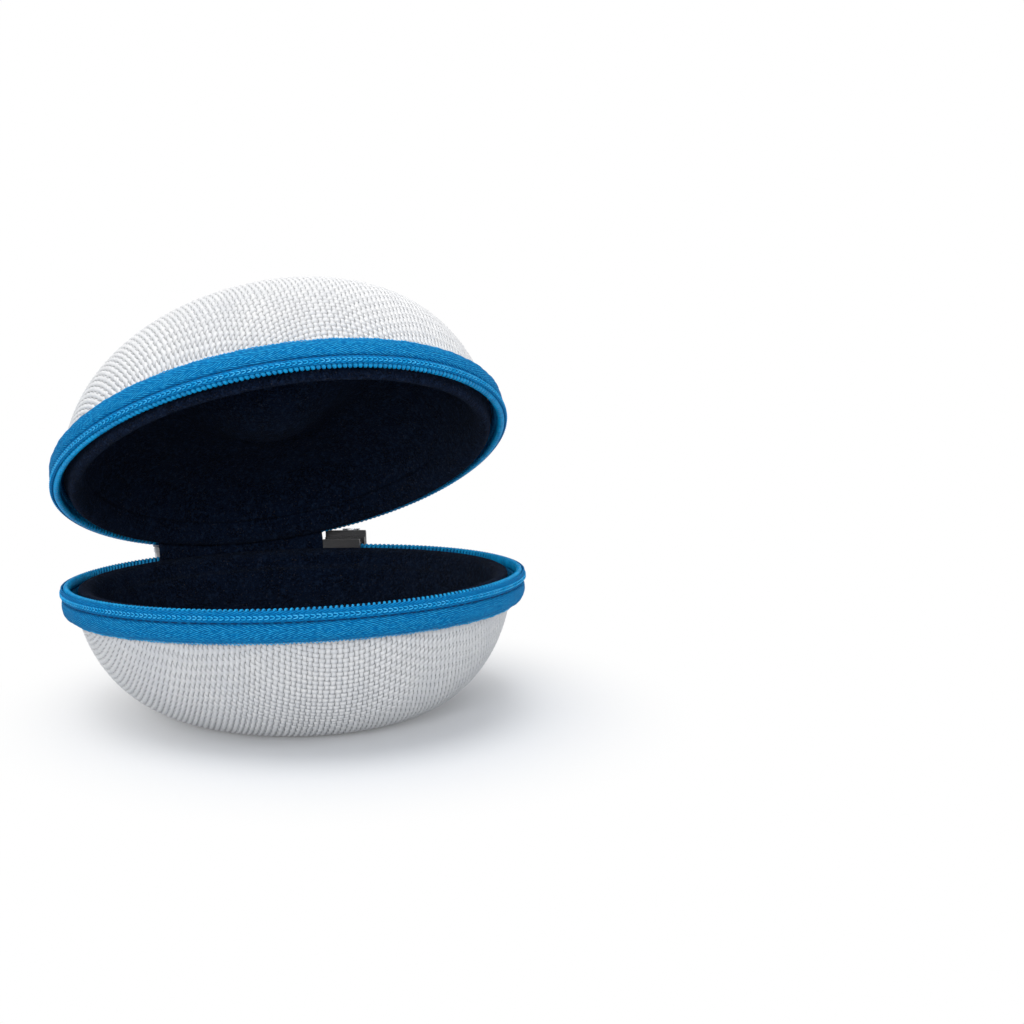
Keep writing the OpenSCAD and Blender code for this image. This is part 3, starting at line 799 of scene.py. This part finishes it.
def border_thread(half):
    """Zigzag stitches where the tape meets the shell."""
    stitch = 0.95
    n = int(ARC_MM / stitch) * 2
    mm = np.linspace(1.2, ARC_MM - 1.2, n)
    zig = np.where(np.arange(n) % 2 == 0, 1.0, -1.0)
    wander = 0.06 * np.sin(mm * 1.7) + 0.05 * np.sin(mm * 0.63)
    angle = zip_angle(mm)
    r = 53.92 - 0.28 * zig + drawn_in(half, angle, BAND_Z)
    z = BAND_Z + 0.02 + 0.24 * zig + wander
    threads(f"{half}_border_thread", [around(r, angle, half_side(half) * z)], 0.15, half,
            THREAD, "thread", body=half, replaces=(f"{half}_tape_stitching",))


def groove_thread(half):
    """Lock stitches at the bottom of the groove."""
    stitch, step = 1.5, 2.4
    lift = np.array([0.0, 0.14, 0.18, 0.18, 0.14, 0.0])
    paths = [around(55.45 + lift, zip_angle(mm + np.linspace(0, stitch, len(lift))),
                    half_side(half) * GROOVE_Z)
             for mm in np.arange(2.0, ARC_MM - 2.5, step)]
    threads(f"{half}_groove_thread", paths, 0.11, half, DARK_THREAD, "thread_dark", body=half)


def bartack(half):
    """Satin stitches that bind each cut end of the tape."""
    section = np.array(TAPE[TAPE_OUTSIDE])
    across = distances(section)
    at = np.linspace(0, across[-1], 74)
    r = np.interp(at, across, section[:, 0]) + 0.12
    z = np.interp(at, across, section[:, 1])
    zig = np.where(np.arange(len(at)) % 2 == 0, 0.0, 1.9) - 0.15
    paths = []
    for mm in (zig, ARC_MM - zig):
        angle = zip_angle(mm)
        paths.append(around(r + drawn_in(half, angle, z), angle, half_side(half) * z))
    threads(f"{half}_bartacks", paths, 0.17, half, DARK_THREAD, "thread_dark", body=half,
            replaces=(f"{half}_tape_bartacks",))


# ---------------------------------------------------------------- hinge

FOLD_Z = 3.0  # the hinge bends over this far on each side of the parting plane
CLOTH_R, CLOTH_T = 54.7, 0.8  # the outer face of the hinge cloth where it is free
VELOUR_R, VELOUR_T = 53.3, 0.6
HEM_LIFT = 0.88  # of the cloth's outer face off the wall at its hems
HEM_STITCH_Z = 8.2


def ease(x, low, high):
    """A smooth step from 0 at low to 1 at high."""
    s = np.clip((x - low) / (high - low), 0, 1)
    return s * s * (3 - 2 * s)


def bent(points):
    """Points of the closed hinge strip, bent as far as the lid stands open."""
    p = np.array(points, float)
    a = -OPEN * ease(p[..., 2], -FOLD_Z, FOLD_Z)
    y, z = p[..., 1] - HINGE[1], p[..., 2].copy()
    p[..., 1] = HINGE[1] + y * np.cos(a) - z * np.sin(a)
    p[..., 2] = y * np.sin(a) + z * np.cos(a)
    return p


def strip_radius(angle, z):
    """The outer face of the hinge cloth: free at the fold, over the ends of the bands, and
    down on both walls at its hems."""
    far = np.abs(z)
    wall, shift = (
        np.where(z > 0, radius("lid", 90 + angle, far), radius("base", 90 + angle, far))
        for radius in (wall_radius, drawn_in))
    down = ease(far, 3.6, 7.4)
    plain = CLOTH_R * (1 - down) + (wall + HEM_LIFT) * down
    over_band = np.interp(far, (0, 5.5, 6.65, 7.2, 7.65, 8.0, 8.5, 9.2),
                          (57.1, 57.05, 56.8, 56.5, 56.1, 55.6, 54.7, 53.4)) + shift
    wide = ease(np.abs(angle), 19.3, 21.9)
    return plain * (1 - wide) + over_band * wide


def creases(angle, z):
    """Upright creases, from -1.5 to 1.5."""
    turn = np.radians(angle)
    return np.sin(turn * 34 + 0.15 * z) + 0.5 * np.sin(turn * 71 - 0.3 * z)


def dent(z):
    """The fold line at the parting plane, from 0 to 1."""
    return np.exp(-((z / 1.6) ** 2))


def two_faced(rows, cols):
    """Faces of a sheet given as its outer and then its inner grid of points."""
    n = rows * cols
    faces = quads(rows, cols, False, True) + quads(rows, cols, False, False, n)
    edge = list(range(cols))
    edge += [i * cols + cols - 1 for i in range(1, rows)]
    edge += [(rows - 1) * cols + j for j in range(cols - 2, -1, -1)]
    edge += [i * cols for i in range(rows - 2, 0, -1)]
    for i, at in enumerate(edge):
        to = edge[(i + 1) % len(edge)]
        faces.append([at, to, to + n, at + n])
    return faces


def hinge_sheet(name, node, angle, z, outer_r, inner_r, fold_r, material, slot, uv=None):
    """A cloth that joins the halves, bent between them as far as the lid stands open."""
    skins = [bent(around(r, 90 + angle, z)).reshape(-1, 3) for r in (outer_r, inner_r)]
    ob = build(name, np.vstack(skins), two_faced(*angle.shape), "base", material, slot, uv=uv)
    low, high = (placed(bent([[0, fold_r, end]]), "base")[0] for end in (-FOLD_Z, FOLD_Z))
    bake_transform(ob)
    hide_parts(node)


def hinge_cloth():
    """The strip of shell fabric at the back, woven like the shells."""
    half_u, half_v = 17, 8  # yarns on each side of the middle
    cu, cv, mu, mv = (g.T for g in yarns(half_u, half_v))
    angle = np.degrees((mu + 0.05 * np.sin(cu * 5.3 + cv * 2.9)) / CLOTH_R)
    z = (mv + 0.05 * np.sin(cv * 4.7 - cu * 3.1)) * (BAND_Z + 0.9) / (half_v * WEFT)
    hem = np.clip((np.abs(z) - 7.8) / 1.2, 0, 1)
    r = strip_radius(angle, z) + 0.12 * creases(angle, z) * (1 - hem) - 0.06 * dent(z)
    uv = np.stack([cu * WARP, cv * WEFT], -1).reshape(-1, 2)
    hinge_sheet("hinge_cloth", "hinge_fabric", angle, z, r - sunk_at(cu, cv) * (1 - 0.5 * hem),
                r - CLOTH_T, CLOTH_R, SHELL, "shell_fabric", uv=np.vstack([uv, uv]))


def hinge_velour():
    """The strip of lining inside the hinge."""
    angle, z = np.meshgrid(np.linspace(-24.5, 24.5, 120), np.linspace(-SEAM_Z, SEAM_Z, 49))
    r = VELOUR_R + 0.05 * creases(angle, z) - 0.02 * dent(z)
    hinge_sheet("hinge_velour", "hinge_lining", angle, z, r, r - VELOUR_T, VELOUR_R, VELOUR,
                "velour_lining")


def hinge_stitches(half):
    """Lock stitches that hold the hinge cloth's hem to the wall."""
    stitch, step = 2.1, 2.75  # degrees
    z = half_side(half) * HEM_STITCH_Z
    lift = np.array([-0.35, 0.02, 0.08, 0.08, 0.02, -0.35])
    paths = []
    for at in np.arange(-22.0, 21.9, step):
        angle = at + np.linspace(0, stitch, len(lift))
        paths.append(around(strip_radius(angle, z) + lift, 90 + angle, z))
    threads(f"{half}_hinge_stitches", paths, 0.16, half, PALE_THREAD, "shell_fabric", body=half)


# ---------------------------------------------------------------- slider and puller


def softened(name, node, body, material, width):
    """A copy of a rigid CAD node with rounded edges, as cast or moulded."""
    me = frame["nodes"][node].data.copy()
    me.materials.clear()
    me.materials.append(material)
    bm = bmesh.new()
    bm.from_mesh(me)
    bmesh.ops.remove_doubles(bm, verts=bm.verts, dist=1e-6)
    bmesh.ops.dissolve_limit(bm, angle_limit=math.radians(4), verts=bm.verts, edges=bm.edges)
    bmesh.ops.recalc_face_normals(bm, faces=bm.faces)
    bm.to_mesh(me)
    bm.free()
    me.polygons.foreach_set("use_smooth", [True] * len(me.polygons))
    ob = bpy.data.objects.new(name, me)
    bpy.context.scene.collection.objects.link(ob)
    soft = ob.modifiers.new("edges", "BEVEL")
    soft.width, soft.segments = width / 1000, 3
    soft.limit_method, soft.angle_limit = "ANGLE", math.radians(32)
    soft.use_clamp_overlap = True
    even = ob.modifiers.new("normals", "WEIGHTED_NORMAL")
    even.keep_sharp = True
    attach(ob, body)
    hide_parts(node)


# ---------------------------------------------------------------- the case

for half in HALVES:
    for piece in (woven_shell, shell_backing, foam_core, lining, twill_tape, coil, filler,
                  coil_thread, border_thread, groove_thread, bartack, hinge_stitches):
        piece(half)

hinge_cloth()
hinge_velour()

softened("slider", "zip_slider", "slider", ENAMEL, 0.28)
softened("link", "pull_link", "link", STEEL, 0.16)
softened("tab", "pull_tab", "tab", RUBBER, 0.3)


# ---------------------------------------------------------------- floor, light and camera


def sees_plain(tree):
    """1 for the camera's, glossy and transmission rays, which see a plain white background."""
    rays = tree.nodes.new("ShaderNodeLightPath").outputs
    shown = rays["Is Camera Ray"]
    for ray in ("Is Glossy Ray", "Is Transmission Ray"):
        most = tree.nodes.new("ShaderNodeMath")
        most.operation = "MAXIMUM"
        tree.links.new(shown, most.inputs[0])
        tree.links.new(rays[ray], most.inputs[1])
        shown = most.outputs[0]
    return shown


def floor():
    """A pale floor that turns plain white a little way from the case, round a point off its
    middle: painted light that fades the case's shadow out, with a painted glow that lifts the
    shadow near the case.
    """
    k = Look("floor", rough=1.0, specular=0.0)
    k.colour(rgb(0.58, 0.60, 0.63))
    shown = sees_plain(k.tree)
    # painted light: a glow that camera and glossy rays see lifts the floor's shadow near the case
    shadow_lift_glow = k.node("Emission")
    shadow_lift_glow.inputs["Color"].default_value = rgb(1, 1, 1)
    k.feed(shadow_lift_glow.inputs["Strength"], k.mul(shown, 0.13))
    near = k.node("AddShader")
    k.feed(near.inputs[0], k.bsdf.outputs[0])
    k.feed(near.inputs[1], shadow_lift_glow.outputs[0])
    # painted light: further out the floor turns plain white, which fades the shadow out round the
    # point below
    white = k.node("Emission")
    distance = k.node("VectorMath", operation="DISTANCE")
    k.feed(distance.inputs[0], k.node("TexCoord").outputs["Object"])
    distance.inputs[1].default_value = (0.006, -0.014, 0.0)  # the shadow's middle
    both = k.node("MixShader")
    k.feed(both.inputs[0], k.mul(shown, k.step(distance.outputs["Value"], 0.026, 0.088)))
    k.feed(both.inputs[1], near.outputs[0])
    k.feed(both.inputs[2], white.outputs[0])
    k.feed(k.tree.nodes["Material Output"].inputs[0], both.outputs[0])
    me = bpy.data.meshes.new("floor")
    w = 6.0
    me.from_pydata([(-w, -w, 0), (w, -w, 0), (w, w, 0), (-w, w, 0)], [], [(0, 1, 2, 3)])
    me.materials.append(k.material)
    ob = bpy.data.objects.new("floor", me)
    bpy.context.scene.collection.objects.link(ob)


def world():
    """Even light from all round, behind a plain white background."""
    w = bpy.data.worlds.new("studio")
    bpy.context.scene.world = w
    w.use_nodes = True
    tree = w.node_tree
    light = tree.nodes["Background"]
    light.inputs["Color"].default_value = rgb(0.97, 0.98, 1.0)
    light.inputs["Strength"].default_value = 0.46
    white = tree.nodes.new("ShaderNodeBackground")
    white.inputs["Color"].default_value = rgb(1, 1, 1)
    white.inputs["Strength"].default_value = 1.0
    mix = tree.nodes.new("ShaderNodeMixShader")
    tree.links.new(sees_plain(tree), mix.inputs[0])
    tree.links.new(light.outputs[0], mix.inputs[1])
    tree.links.new(white.outputs[0], mix.inputs[2])
    tree.links.new(mix.outputs[0], tree.nodes["World Output"].inputs[0])


def softbox(name, at, size, watts):
    """A round area light that faces the middle of the case."""
    light = bpy.data.lights.new(name, "AREA")
    light.shape = "DISK"
    light.size, light.energy = size, watts
    ob = bpy.data.objects.new(name, light)
    bpy.context.scene.collection.objects.link(ob)
    x, y, z = (np.array([0, 0, 0.05]) - at).tolist()
    ob.location = at
    ob.rotation_euler = (math.atan2(math.hypot(x, y), -z), 0, math.atan2(y, x) - math.pi / 2)


def camera():
    """The camera that was fitted to the outlines of the photographed case."""
    lens = bpy.data.cameras.new("camera")
    lens.sensor_width, lens.lens = 36.0, 85.49
    lens.clip_start, lens.clip_end = 0.02, 20.0
    eye = bpy.data.objects.new("camera", lens)
    eye.location = (-0.161568, -0.555092, 0.166710)
    turn, tilt, roll = (Matrix.Rotation(math.radians(angle), 3, axis)
                        for angle, axis in ((-21.394, "Z"), (78.283, "X"), (0.284, "Z")))
    eye.rotation_euler = (turn @ tilt @ roll).to_euler()
    bpy.context.scene.collection.objects.link(eye)
    bpy.context.scene.camera = eye


floor()
world()
softbox("top", (-0.10, 0.10, 1.1), 0.9, 8.6)
softbox("front_left", (-0.75, -1.05, 0.5), 0.6, 8.0)
softbox("right", (1.0, -0.5, 0.35), 0.7, 3.2)
camera()
bpy.context.scene.view_settings.view_transform = "Standard"
